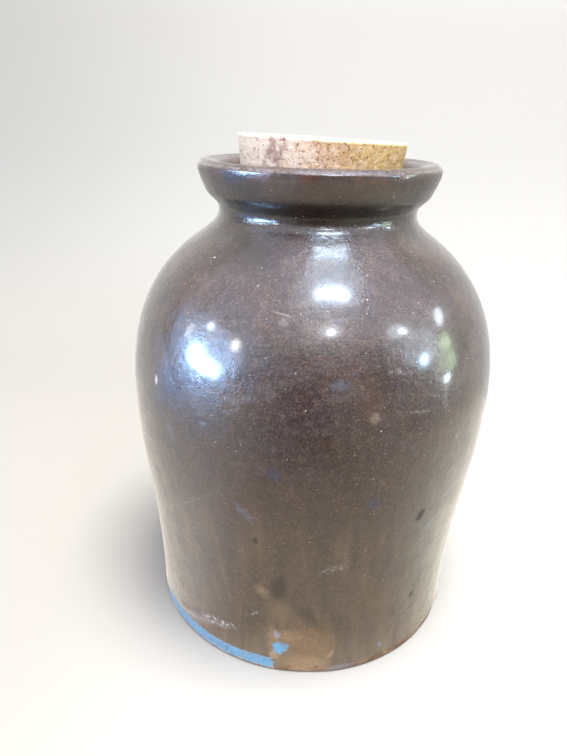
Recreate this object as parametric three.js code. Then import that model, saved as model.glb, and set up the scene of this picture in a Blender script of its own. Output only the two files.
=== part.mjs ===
// A half-gallon stoneware canning jar with a tapered cork stopper pressed into its mouth.
// Millimetres, +Z up. The origin is the centre of the foot, on the surface the jar stands on.
import * as THREE from "three";

const { CubicBezierCurve, EllipseCurve, LineCurve, Vector2 } = THREE;

// Foot and wall: the wall leaves the foot upright, swells to the belly and turns in over the shoulder.
const FOOT_RADIUS = 70.7;
const FOOT_ROUNDING = 1.6;
const BELLY_RADIUS = 77.6;
const BELLY_HEIGHT = 110;
const WALL_UPRIGHT = 57; // how far the wall keeps the foot's direction
const BELLY_BELOW = 37; // how far the belly's upright direction reaches down the wall
const BELLY_ABOVE = 41.1; // how far it reaches up the shoulder

// Neck: the shoulder ends in a slope that runs through a hollow into the narrow neck.
const SHOULDER_END_RADIUS = 46.7;
const SHOULDER_END_HEIGHT = 172.3;
const SHOULDER_SLOPE = THREE.MathUtils.degToRad(34.8);
const SLOPE_BELOW = 11.6; // how far the slope reaches down the shoulder
const SLOPE_ABOVE = 4.9; // how far it reaches up into the hollow
const NECK_RADIUS = 40;
const NECK_HEIGHT = 181.1;
const NECK_BELOW = 3.2; // how far the neck's upright direction reaches down into the hollow
const NECK_ABOVE = 4; // how far it reaches up under the collar

// Collar: a flared band that leans in towards its lower edge, with a rounded crest.
const COLLAR_EDGE_RADIUS = 45.4;
const COLLAR_EDGE_HEIGHT = 189.2;
const COLLAR_LEAN = THREE.MathUtils.degToRad(70.2); // the face's rise at its lower edge
const LEAN_BELOW = 4.25; // how far that rise reaches down under the edge
const LEAN_ABOVE = 1.6; // how far it reaches up the face
const COLLAR_RADIUS = 48;
const COLLAR_WIDEST_HEIGHT = 197.6;
const CREST_RADIUS = 44.9;
const CREST_HEIGHT = 200;

// Stopper: a straight taper, pressed in a little askew, so that its left side stands higher.
const CORK_TOP_RADIUS = 33;
const CORK_LENGTH = 38;
const CORK_TAPER = THREE.MathUtils.degToRad(5.65);
const CORK_LEAN = THREE.MathUtils.degToRad(2);
const CORK_ABOVE_CREST = 7.9;
const CORK_EDGE = 0.8; // worn arris at both ends
const FIT_GAP = 0.4; // clearance of the stopper in the throat

// Mouth: a funnel runs from the crest to the throat that grips the stopper.
const THROAT_HEIGHT = 183;
const FLOOR_GAP = 1.6; // below the stopper's lower end, which leans

const JAR_SEGMENTS = 72;
const CORK_SEGMENTS = 64;

// Sizes that follow from those above.
const corkTop = CREST_HEIGHT + CORK_ABOVE_CREST;
const corkBottom = corkTop - CORK_LENGTH;
const corkBottomRadius = CORK_TOP_RADIUS - CORK_LENGTH * Math.tan(CORK_TAPER);
const throatRadius =
  corkBottomRadius + (THROAT_HEIGHT - corkBottom) * Math.tan(CORK_TAPER) + FIT_GAP;
const throatFloor = corkBottom - FLOOR_GAP;

const point = (radius, height) => new Vector2(radius, height);
// The point at a distance from another, in a direction that rises outwards by an angle.
const reach = (from, rise, distance) =>
  point(from.x + distance * Math.cos(rise), from.y + distance * Math.sin(rise));
const line = (from, to) => ({ curve: new LineCurve(from, to), steps: 1 });
const bend = (from, lead, trail, to, steps) => ({
  curve: new CubicBezierCurve(from, lead, trail, to),
  steps,
});

// The points of a chain of curves, each sampled in its own number of steps.
function sample(chain) {
  const points = [chain[0].curve.getPoint(0)];
  for (const { curve, steps } of chain) {
    points.push(...curve.getPoints(steps).slice(1));
  }
  return points;
}

// A solid of revolution about +Z from an outline that starts and ends on the axis.
function turned(name, outline, segments, material) {
  const geometry = new THREE.LatheGeometry(outline, segments);
  geometry.rotateX(Math.PI / 2);
  const mesh = new THREE.Mesh(geometry, material);
  mesh.name = name;
  return mesh;
}

// The jar's outline, from the middle of its underside round the outside and down into the throat.
function jarOutline() {
  const footEdge = point(FOOT_RADIUS, FOOT_ROUNDING);
  const belly = point(BELLY_RADIUS, BELLY_HEIGHT);
  const shoulderEnd = point(SHOULDER_END_RADIUS, SHOULDER_END_HEIGHT);
  const neck = point(NECK_RADIUS, NECK_HEIGHT);
  const collarEdge = point(COLLAR_EDGE_RADIUS, COLLAR_EDGE_HEIGHT);
  const collar = point(COLLAR_RADIUS, COLLAR_WIDEST_HEIGHT);
  const crest = point(CREST_RADIUS, CREST_HEIGHT);
  const throat = point(throatRadius, THROAT_HEIGHT);
  const throatEnd = point(throatRadius, throatFloor);
  const funnelDepth = CREST_HEIGHT - THROAT_HEIGHT;
  const footArc = new EllipseCurve(
    FOOT_RADIUS - FOOT_ROUNDING, FOOT_ROUNDING, FOOT_ROUNDING, FOOT_ROUNDING, -Math.PI / 2, 0,
  );
  return sample([
    line(point(0, 0), point(FOOT_RADIUS - FOOT_ROUNDING, 0)),
    { curve: footArc, steps: 3 },
    bend(
      footEdge,
      point(FOOT_RADIUS, WALL_UPRIGHT),
      point(BELLY_RADIUS, BELLY_HEIGHT - BELLY_BELOW),
      belly,
      8,
    ),
    bend(
      belly,
      point(BELLY_RADIUS, BELLY_HEIGHT + BELLY_ABOVE),
      reach(shoulderEnd, -SHOULDER_SLOPE, SLOPE_BELOW),
      shoulderEnd,
      11,
    ),
    bend(
      shoulderEnd,
      reach(shoulderEnd, -SHOULDER_SLOPE, -SLOPE_ABOVE),
      point(NECK_RADIUS, NECK_HEIGHT - NECK_BELOW),
      neck,
      5,
    ),
    bend(
      neck,
      point(NECK_RADIUS, NECK_HEIGHT + NECK_ABOVE),
      reach(collarEdge, COLLAR_LEAN, -LEAN_BELOW),
      collarEdge,
      6,
    ),
    bend(
      collarEdge,
      reach(collarEdge, COLLAR_LEAN, LEAN_ABOVE),
      point(COLLAR_RADIUS, COLLAR_WIDEST_HEIGHT - 3.1),
      collar,
      4,
    ),
    bend(
      collar,
      point(COLLAR_RADIUS, COLLAR_WIDEST_HEIGHT + 1.6),
      point(CREST_RADIUS + 1.7, CREST_HEIGHT),
      crest,
      4,
    ),
    bend(
      crest,
      point(CREST_RADIUS - 3.5, CREST_HEIGHT),
      point(throatRadius, THROAT_HEIGHT + 0.55 * funnelDepth),
      throat,
      6,
    ),
    line(throat, throatEnd),
    line(throatEnd, point(0, throatFloor)),
  ]);
}

// The stopper's outline, with heights counted from the throat's edge, where it is gripped.
function corkOutline() {
  const low = corkBottom - THROAT_HEIGHT;
  const high = corkTop - THROAT_HEIGHT;
  const edgeTaper = CORK_EDGE * Math.tan(CORK_TAPER);
  return [
    point(0, low),
    point(corkBottomRadius - CORK_EDGE, low),
    point(corkBottomRadius + edgeTaper, low + CORK_EDGE),
    point(CORK_TOP_RADIUS - edgeTaper, high - CORK_EDGE),
    point(CORK_TOP_RADIUS - CORK_EDGE, high),
    point(0, high),
  ];
}

const glaze = new THREE.MeshStandardMaterial({ color: 0x6a5d53, roughness: 0.22, metalness: 0 });
const pressedCork = new THREE.MeshStandardMaterial({ color: 0xd2ae80, roughness: 0.85, metalness: 0 });

const cannedJar = new THREE.Group();
cannedJar.add(turned("jar", jarOutline(), JAR_SEGMENTS, glaze));

const stopper = new THREE.Group();
stopper.position.z = THROAT_HEIGHT;
stopper.rotation.y = CORK_LEAN;
stopper.add(turned("cork", corkOutline(), CORK_SEGMENTS, pressedCork));
cannedJar.add(stopper);

export default cannedJar;
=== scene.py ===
"""Looks of a brown-glazed stoneware canning jar with a cork stopper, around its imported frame.

The jar stands on a pale sweep and is seen from the front, a little above its rim. Lengths are
millimetres in the classes below and become metres where a mesh, a lamp or the camera is made.
"""

from __future__ import annotations

import logging
import math
from collections.abc import Mapping, Sequence
from dataclasses import dataclass
from enum import Enum
from typing import Any, Union

import bpy
import numpy as np
from mathutils import Matrix, Quaternion, Vector, noise

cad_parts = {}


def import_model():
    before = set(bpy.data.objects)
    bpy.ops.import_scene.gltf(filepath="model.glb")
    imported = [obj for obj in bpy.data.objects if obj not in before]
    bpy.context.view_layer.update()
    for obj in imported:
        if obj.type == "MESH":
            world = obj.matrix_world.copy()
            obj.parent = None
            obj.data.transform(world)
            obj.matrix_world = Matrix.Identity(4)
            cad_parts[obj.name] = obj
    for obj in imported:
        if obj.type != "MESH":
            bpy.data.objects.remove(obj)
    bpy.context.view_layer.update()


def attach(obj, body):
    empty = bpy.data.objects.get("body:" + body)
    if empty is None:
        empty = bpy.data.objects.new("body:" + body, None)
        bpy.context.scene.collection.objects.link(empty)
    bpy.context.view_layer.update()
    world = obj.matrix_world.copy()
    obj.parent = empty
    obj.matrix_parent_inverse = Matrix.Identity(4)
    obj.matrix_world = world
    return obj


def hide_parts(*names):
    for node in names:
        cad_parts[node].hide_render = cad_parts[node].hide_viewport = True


LOG = logging.getLogger("canning_jar")
MM = 0.001
BODY = "root"
# How far a cubic curve's handles reach, in radii, where it follows a quarter circle.
CIRCLE_HANDLE = 0.55

Colour = tuple[float, float, float, float]
Number = Union[float, "Term"]


def paint(red: int, green: int, blue: int) -> Colour:
    """Turns a display colour into the linear colour that shaders take.

    Args:
        red: Display red, 0 to 255.
        green: Display green, 0 to 255.
        blue: Display blue, 0 to 255.

    Returns:
        The linear colour with full alpha.
    """
    linear = []
    for level in (red, green, blue):
        share = level / 255
        dark = share / 12.92
        bright = ((share + 0.055) / 1.055) ** 2.4
        linear.append(dark if share <= 0.04045 else bright)
    return (linear[0], linear[1], linear[2], 1.0)


class Term:
    """A number socket of a node tree. Python's operators on it add Math nodes."""

    def __init__(self, sheet: NodeSheet, socket: bpy.types.NodeSocket) -> None:
        """Wraps one output socket of the sheet."""
        self.sheet = sheet
        self.socket = socket

    def __add__(self, other: Number) -> Term:
        """self + other."""
        return self.sheet.math("ADD", self, other)

    def __radd__(self, other: Number) -> Term:
        """other + self."""
        return self.sheet.math("ADD", other, self)

    def __sub__(self, other: Number) -> Term:
        """self - other."""
        return self.sheet.math("SUBTRACT", self, other)

    def __rsub__(self, other: Number) -> Term:
        """other - self."""
        return self.sheet.math("SUBTRACT", other, self)

    def __mul__(self, other: Number) -> Term:
        """self * other."""
        return self.sheet.math("MULTIPLY", self, other)

    def __rmul__(self, other: Number) -> Term:
        """other * self."""
        return self.sheet.math("MULTIPLY", other, self)

    def __truediv__(self, other: Number) -> Term:
        """self / other."""
        return self.sheet.math("DIVIDE", self, other)

    def __rtruediv__(self, other: Number) -> Term:
        """other / self."""
        return self.sheet.math("DIVIDE", other, self)

    def __neg__(self) -> Term:
        """Minus self."""
        return self.sheet.math("MULTIPLY", self, -1.0)

    def most(self, other: Number) -> Term:
        """The larger of the two."""
        return self.sheet.math("MAXIMUM", self, other)

    def size(self) -> Term:
        """Its size without its sign."""
        return self.sheet.math("ABSOLUTE", self, 0.0)

    def step(self, low: float, high: float) -> Term:
        """Eases from 0 at low to 1 at high.

        Args:
            low: The value that gives 0, which may be the larger one.
            high: The value that gives 1.

        Returns:
            The eased value.
        """
        return self.sheet.number(
            "MapRange",
            {"interpolation_type": "SMOOTHSTEP"},
            {"Value": self, "From Min": low, "From Max": high},
        )


class NodeSheet:
    """The node tree of one material or of the room around the jar."""

    def __init__(self, owner: bpy.types.Material | bpy.types.World) -> None:
        """Empties the owner's node tree.

        Args:
            owner: The material or world.
        """
        self.owner = owner
        self.owner.use_nodes = True
        self.tree = self.owner.node_tree
        self.tree.nodes.clear()

    def node(
        self,
        kind: str,
        settings: Mapping[str, Any] | None = None,
        sockets: Mapping[str | int, Any] | None = None,
    ) -> bpy.types.Node:
        """Adds a node.

        Args:
            kind: The node's type, without its ShaderNode prefix.
            settings: Values set on the node first; "stops" sets a ramp's places and colours.
            sockets: The value or the link of each input, by name or number.

        Returns:
            The new node.
        """
        made = self.tree.nodes.new("ShaderNode" + kind)
        for name, value in (settings or {}).items():
            if name == "stops":
                self._set_stops(made.color_ramp, value)
            else:
                setattr(made, name, value)
        for key, value in (sockets or {}).items():
            self.feed(made.inputs[key], value)
        return made

    @staticmethod
    def _set_stops(ramp: bpy.types.ColorRamp, stops: Sequence[tuple[float, Colour]]) -> None:
        """Gives a ramp its stops.

        Args:
            ramp: The ramp.
            stops: Their places, in rising order, and colours.
        """
        while len(ramp.elements) < len(stops):
            ramp.elements.new(1.0)
        for element, (place, colour) in zip(ramp.elements, stops):
            element.position = place
            element.color = colour

    def feed(self, socket: bpy.types.NodeSocket, value: Any) -> None:
        """Links a socket or a term to an input, or sets the input's own value.

        Args:
            socket: The input.
            value: The source to link, or the value to set.
        """
        source = value.socket if isinstance(value, Term) else value
        if isinstance(source, bpy.types.NodeSocket):
            self.tree.links.new(source, socket)
        else:
            socket.default_value = source

    def number(
        self,
        kind: str,
        settings: Mapping[str, Any] | None = None,
        sockets: Mapping[str | int, Any] | None = None,
        output: str | int = 0,
    ) -> Term:
        """Adds a node as node() does and returns one of its outputs as a term."""
        return Term(self, self.node(kind, settings, sockets).outputs[output])

    def math(self, operation: str, first: Number, second: Number) -> Term:
        """Adds a Math node of two inputs."""
        return self.number("Math", {"operation": operation}, {0: first, 1: second})

    def vector(self, operation: str, first: Any, second: Any) -> bpy.types.NodeSocket:
        """Adds a Vector Math node of two inputs and returns its vector."""
        return self.node("VectorMath", {"operation": operation}, {0: first, 1: second}).outputs[0]

    def scaled(self, first: Any, factor: float) -> bpy.types.NodeSocket:
        """A vector times a number."""
        made = self.node("VectorMath", {"operation": "SCALE"}, {0: first, "Scale": factor})
        return made.outputs[0]

    def length(self, first: Any) -> Term:
        """The length of a vector."""
        return self.number("VectorMath", {"operation": "LENGTH"}, {0: first}, "Value")

    def place(self) -> bpy.types.NodeSocket:
        """The point on the piece, in millimetres."""
        return self.scaled(self.node("TexCoord").outputs["Object"], 1 / MM)

    def split(self, vector: Any) -> tuple[Term, Term, Term]:
        """A vector's parts to the right, to the back and upwards."""
        parts = self.node("SeparateXYZ", {}, {0: vector}).outputs
        return Term(self, parts[0]), Term(self, parts[1]), Term(self, parts[2])

    def mix(self, factor: Number, first: Any, second: Any) -> bpy.types.NodeSocket:
        """Mixes two colours: the first where the factor is 0, the second where it is 1."""
        made = self.node("Mix", {"data_type": "RGBA"}, {0: factor, 6: first, 7: second})
        return made.outputs[2]

    def noise(
        self,
        place: Any,
        grain: float,
        detail: float = 2.0,
        roughness: float = 0.5,
        distortion: float = 0.0,
    ) -> Term:
        """A cloudy value from 0 to 1.

        Args:
            place: The point, in millimetres.
            grain: The size of its clouds, in millimetres.
            detail: How many finer layers it has.
            roughness: How strong the finer layers are.
            distortion: How much it swirls.

        Returns:
            The value, about 0.5 on average.
        """
        sockets = {
            "Vector": place,
            "Scale": 1 / grain,
            "Detail": detail,
            "Roughness": roughness,
            "Distortion": distortion,
        }
        return self.number("TexNoise", {"noise_dimensions": "3D"}, sockets)

    def cells(self, place: Any, size: float) -> tuple[Term, bpy.types.NodeSocket]:
        """Random cells.

        Args:
            place: The point, in millimetres.
            size: The cells' size, in millimetres.

        Returns:
            The distance from the cell's point, in cells, and the cell's own random colour.
        """
        made = self.node("TexVoronoi", {"feature": "F1"}, {"Vector": place, "Scale": 1 / size})
        return Term(self, made.outputs["Distance"]), made.outputs["Color"]

    def channel(self, colour: Any, name: str) -> Term:
        """One channel of a colour or vector: Red, Green or Blue."""
        return self.number("SeparateColor", {}, {0: colour}, name)

    def bump(self, height: Term, distance: float, normal: Any = None) -> bpy.types.NodeSocket:
        """Turns a height into a normal.

        Args:
            height: The relief, about 0 to 1.
            distance: How high 1 is, in millimetres.
            normal: The normal that it adds to, if any.

        Returns:
            The normal's socket.
        """
        sockets = {"Strength": 1.0, "Distance": distance * MM, "Height": height}
        if normal is not None:
            sockets["Normal"] = normal
        return self.node("Bump", {}, sockets).outputs["Normal"]

    def finish(self, sockets: Mapping[str, Any]) -> bpy.types.Material:
        """Adds the shader and the material's output.

        Args:
            sockets: The value or the link of each of the shader's inputs.

        Returns:
            The material.
        """
        shader = self.node("BsdfPrincipled", {}, sockets)
        self.node("OutputMaterial", {}, {"Surface": shader.outputs[0]})
        return self.owner


class Layers:
    """Colours laid over one another, each through its own mask."""

    def __init__(self, sheet: NodeSheet, ground: Any) -> None:
        """Starts with the colour that lies below all others."""
        self.sheet = sheet
        self.colour = ground

    def lay(self, mask: Number, colour: Any) -> None:
        """Covers what lies there with a colour, as far as the mask goes from 0 to 1."""
        self.colour = self.sheet.mix(mask, self.colour, colour)


class Edge(Enum):
    """How far a mark's outline wanders, in millimetres."""

    CLEAN = 0.25
    WORN = 1.0
    TORN = 2.4


@dataclass(frozen=True)
class Mark:
    """A patch on the glaze.

    Attributes:
        angle: Degrees to the right of the front.
        height: Millimetres above the foot.
        wide: Its width along the wall, in millimetres.
        tall: Its height up the wall, in millimetres.
        colour: Its colour.
        strength: How much of the glaze it covers.
        turn: Degrees that it is turned, anticlockwise as seen from outside.
        soft: How far its edge fades, as a share of its size.
        edge: How torn its outline is.
        matt: How much duller than the glaze it is, from 0 to 1.
        broken: How much of it is rubbed away in small flecks, from 0 to 1.
    """

    angle: float
    height: float
    wide: float
    tall: float
    colour: Colour
    strength: float = 1.0
    turn: float = 0.0
    soft: float = 0.35
    edge: Edge = Edge.WORN
    matt: float = 0.0
    broken: float = 0.0


@dataclass(frozen=True)
class Zone:
    """A belt round the jar that eases in and out. Heights in millimetres above the foot.

    Attributes:
        start: Where it begins to show.
        full: Where it shows in full.
        ease: Where it begins to fade.
        end: Where it has faded.
    """

    start: float
    full: float
    ease: float
    end: float


@dataclass(frozen=True)
class GlazeZones:
    """The belts of the neck and the collar where the glaze changes, the lowest first."""

    hollow: Zone = Zone(166.0, 171.0, 182.0, 186.0)
    collar: Zone = Zone(178.5, 183.0, 196.8, 197.6)
    # Where painted shade darkens the recess under the collar.
    shaded_groove: Zone = Zone(179.5, 183.0, 188.0, 189.6)
    # Where painted shade darkens the lower part of the collar's face.
    shaded_lower_face: Zone = Zone(188.0, 189.5, 191.0, 196.0)
    face: Zone = Zone(188.5, 191.0, 195.5, 197.5)
    under_rim: Zone = Zone(194.0, 196.5, 197.6, 198.6)
    polished_edge: Zone = Zone(197.6, 198.2, 199.0, 199.6)
    # Where a painted highlight runs along the rim's edge.
    painted_edge_highlight: Zone = Zone(197.9, 198.4, 198.8, 199.2)


@dataclass(frozen=True)
class Cloud:
    """Clouds of one colour in the glaze.

    Attributes:
        grain: The clouds' size, in millimetres.
        detail: How many finer layers they have.
        fine: How strong the finer layers are.
        low: The noise at which the colour begins.
        high: The noise at which it is full.
        colour: Its colour.
        strength: How much of the glaze it covers.
        upper: Whether it lies on the jar's upper half alone.
    """

    grain: float
    detail: float
    fine: float
    low: float
    high: float
    colour: Colour
    strength: float = 1.0
    upper: bool = False


@dataclass(frozen=True)
class Speck:
    """Small round specks, one to each cell that isn't empty.

    Attributes:
        cell: The cells' size, in millimetres.
        radius: The specks' radius, as a share of a cell.
        empty: The share of cells that stay empty.
        cover: How much of the glaze a speck covers.
        colour: Their colour.
    """

    cell: float
    radius: float
    empty: float
    cover: float
    colour: Colour


@dataclass(frozen=True)
class PaintBand:
    """The band of paint along the foot. Angles in degrees to the right of the front, sizes in mm.

    Attributes:
        left: Where it begins.
        right: Where it ends.
        fade: How far its left end fades.
        top: The lowest place of its upper edge.
        ragged: How far that edge wanders above this.
        soft: How far that edge fades.
        torn: How far its right end wanders to the left.
        gone: How far past the right end no paint is left, before it wanders.
        kept: How far past the right end the paint is whole, before it wanders.
    """

    left: float = -66.0
    right: float = -8.0
    fade: float = 8.0
    top: float = 4.7
    ragged: float = 4.0
    soft: float = 0.35
    torn: float = 9.0
    gone: float = 5.0
    kept: float = 3.8


@dataclass(frozen=True)
class GlazeFinish:
    """Colours and gloss of the brown slip glaze and of what lies on it.

    The relief (ripple, dimple, peel and glint) is in millimetres.
    """

    brown: Colour = paint(58, 41, 36)
    purple: Colour = paint(50, 36, 39)
    olive: Colour = paint(76, 58, 42)
    dust: Colour = paint(116, 103, 90)
    clay: Colour = paint(136, 108, 78)
    russet: Colour = paint(88, 52, 40)
    ochre: Colour = paint(140, 108, 70)
    tan: Colour = paint(164, 138, 104)
    soot: Colour = paint(34, 28, 24)
    blue: Colour = paint(98, 160, 202)
    pale_blue: Colour = paint(112, 132, 168)
    ink_blue: Colour = paint(50, 54, 84)
    lilac: Colour = paint(150, 150, 176)
    chalk: Colour = paint(190, 188, 188)
    roughness: float = 0.27
    film: float = 0.16
    coat_roughness: float = 0.13
    ripple: float = 0.28
    dimple: float = 0.19
    peel: float = 0.075
    glint: float = 0.06
    matt_roughness: float = 0.3
    polish: float = 0.13
    matt_coat_loss: float = 0.9
    collar_coat_loss: float = 0.6
    ior: float = 1.5
    specular: float = 0.65


@dataclass(frozen=True)
class CorkFinish:
    """Colours of the pressed cork granules, and the stain's place. Sizes in millimetres."""

    pale: Colour = paint(255, 244, 232)
    tan: Colour = paint(212, 172, 136)
    gold: Colour = paint(216, 188, 120)
    cream: Colour = paint(244, 236, 222)
    bark: Colour = paint(112, 76, 54)
    stain: Colour = paint(158, 116, 116)
    grain: float = 1.9
    relief: float = 0.3
    roughness: float = 0.85
    ior: float = 1.35
    stain_side: float = -15.7
    stain_height: float = 204.0
    stain_half: float = 3.6
    stain_lean: float = 0.25
    stain_ragged: float = 5.0


@dataclass(frozen=True)
class SweepFinish:
    """Colours of the pale sweep, and of the table, wall and room that the glaze mirrors."""

    floor: Colour = paint(164, 163, 160)
    wall: Colour = paint(161, 161, 159)
    # Painted light: the paler paper up the wall.
    wall_top: Colour = paint(192, 192, 191)
    # Painted shade on the wall's left.
    wall_left_shade: Colour = paint(110, 109, 104)
    # Painted shadow on the floor left of the jar.
    floor_left_shadow: Colour = paint(120, 112, 92)
    near_table: Colour = (0.85, 0.73, 0.55, 1.0)
    far_table: Colour = (0.9, 1.25, 2.1, 1.0)
    backdrop: Colour = (0.85, 0.84, 0.81, 1.0)
    dim: Colour = (0.09, 0.07, 0.06, 1.0)
    sky_low: Colour = (0.33, 0.31, 0.31, 1.0)
    sky_middle: Colour = (1.1, 1.1, 1.2, 1.0)
    sky_high: Colour = (1.2, 1.2, 1.36, 1.0)
    roughness: float = 0.9


@dataclass(frozen=True)
class Wave:
    """Random unevenness of a surface.

    Attributes:
        depth: How deep it goes, in millimetres or as a share of what it shapes.
        grain: The size of its hollows, in millimetres.
        seed: What sets it apart from others.
    """

    depth: float
    grain: float
    seed: float


def put(name: str, data: bpy.types.ID) -> bpy.types.Object:
    """Adds an object with this mesh, lamp or camera to the scene.

    Args:
        name: The object's name.
        data: What it shows.

    Returns:
        The new object.
    """
    made = bpy.data.objects.new(name, data)
    bpy.context.scene.collection.objects.link(made)
    return made


def bend(
    start: Sequence[float],
    lead: Sequence[float],
    trail: Sequence[float],
    end: Sequence[float],
    steps: int,
    crowd: float = 1.0,
) -> np.ndarray:
    """Points on a cubic curve, without its first.

    Args:
        start: The curve's first point, radius and height.
        lead: The point that it leaves towards.
        trail: The point that it arrives from.
        end: Its last point.
        steps: How many points to give.
        crowd: Above 1, the points crowd towards the start.

    Returns:
        An array of radius and height.
    """
    t = np.linspace(0, 1, steps + 1)[1:, None] ** crowd
    corners = [np.asarray(p, float) for p in (start, lead, trail, end)]
    weights = ((1 - t) ** 3, 3 * (1 - t) ** 2 * t, 3 * (1 - t) * t**2, t**3)
    return sum(w * c for w, c in zip(weights, corners))


def reach(start: Sequence[float], rise: float, distance: float) -> tuple[float, float]:
    """The point at a distance from another, in a direction that rises outwards by some degrees."""
    angle = math.radians(rise)
    return (start[0] + distance * math.cos(angle), start[1] + distance * math.sin(angle))


def straight(start: Sequence[float], end: Sequence[float], steps: int) -> np.ndarray:
    """Points on a straight line, without its first, as bend() gives them."""
    t = np.linspace(0, 1, steps + 1)[1:, None]
    return (1 - t) * np.asarray(start, float) + t * np.asarray(end, float)


class TurnedMesh:
    """A closed surface of revolution whose points can be pushed in or out."""

    def __init__(self, outline: np.ndarray, columns: int) -> None:
        """Lays out the points.

        Args:
            outline: Radius and height from the axis below, round the outside, to the axis above.
            columns: How many columns go round.
        """
        self.outline = outline[1:-1]
        self.ends = outline[[0, -1]]
        self.columns = columns
        turn = np.linspace(0, 2 * np.pi, columns, endpoint=False)
        rows = len(self.outline)
        self.angle = np.tile(np.degrees(turn), (rows, 1))
        self.angle = (self.angle + 180) % 360 - 180
        slope = np.gradient(self.outline, axis=0)
        across = np.stack([slope[:, 1], -slope[:, 0]], axis=1)
        across /= np.linalg.norm(across, axis=1)[:, None]
        self.normal = self._spin(across, turn)
        self.points = self._spin(self.outline, turn)

    @staticmethod
    def _spin(profile: np.ndarray, turn: np.ndarray) -> np.ndarray:
        """Turns radius and height round the axis, from the front towards the right.

        Args:
            profile: Radius and height of each row.
            turn: The angle of each column, in radians.

        Returns:
            The place of each point, by row and column.
        """
        radius = profile[:, :1]
        height = np.repeat(profile[:, 1:], len(turn), axis=1)
        return np.stack([radius * np.sin(turn), -radius * np.cos(turn), height], axis=2)

    def above_base(self) -> np.ndarray:
        """Tells the flat underside from the rest.

        Returns:
            0 on the underside and 1 everywhere else, by row and column.
        """
        share = np.where(self.outline[:, 1] <= 0, 0.0, 1.0)
        return np.repeat(share[:, None], self.columns, axis=1)

    def push(self, offset: np.ndarray) -> None:
        """Moves each point along its normal by so many millimetres."""
        self.points = self.points + self.normal * offset[:, :, None]

    def noise(self, grain: float, seed: float) -> np.ndarray:
        """A smooth random value at each point.

        Args:
            grain: The size of its clouds, in millimetres.
            seed: What sets it apart from others.

        Returns:
            Values from -1 to 1, by row and column.
        """
        shift = Vector((seed, 2 * seed, 3 * seed))
        flat = self.points.reshape(-1, 3) / grain
        values = [noise.noise(Vector(p) + shift) for p in flat]
        return np.array(values).reshape(self.points.shape[:2])

    def sunk(self, waves: Sequence[Wave]) -> np.ndarray:
        """How far waves move each point, in millimetres: inwards, or not at all at their crests."""
        return -sum(w.depth * (1 - self.noise(w.grain, w.seed)) for w in waves)

    def build(self, name: str) -> bpy.types.Object:
        """Makes the Blender object, with smooth faces.

        Args:
            name: The object's name.

        Returns:
            The object, without a material.
        """
        rows, columns = self.points.shape[:2]
        flat = self.points.reshape(-1, 3) * MM
        caps = np.array([[0, 0, end[1]] for end in self.ends]) * MM
        vertices = np.concatenate([flat, caps])
        low, high = len(flat), len(flat) + 1
        here = np.arange(columns)
        after = (here + 1) % columns
        faces: list[Sequence[int]] = []
        for row in range(rows - 1):
            below = row * columns
            above = below + columns
            quads = np.stack([below + here, below + after, above + after, above + here], axis=1)
            faces.extend(quads.tolist())
        top = (rows - 1) * columns
        faces.extend([int(b), int(a), low] for a, b in zip(here, after))
        faces.extend([int(top + a), int(top + b), high] for a, b in zip(here, after))
        mesh = bpy.data.meshes.new(name)
        mesh.from_pydata(vertices.tolist(), [], faces)
        mesh.update()
        mesh.shade_smooth()
        return put(name, mesh)


@dataclass(frozen=True)
class JarSteps:
    """How many points each stretch of the jar's outline has, in the outline's order."""

    underside: int = 6
    foot: int = 5
    wall: int = 126
    shoulder: int = 58
    hollow: int = 14
    under_collar: int = 14
    collar: int = 9
    rim: int = 5
    crest: int = 6
    funnel: int = 14
    throat: int = 2
    floor: int = 3


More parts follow.
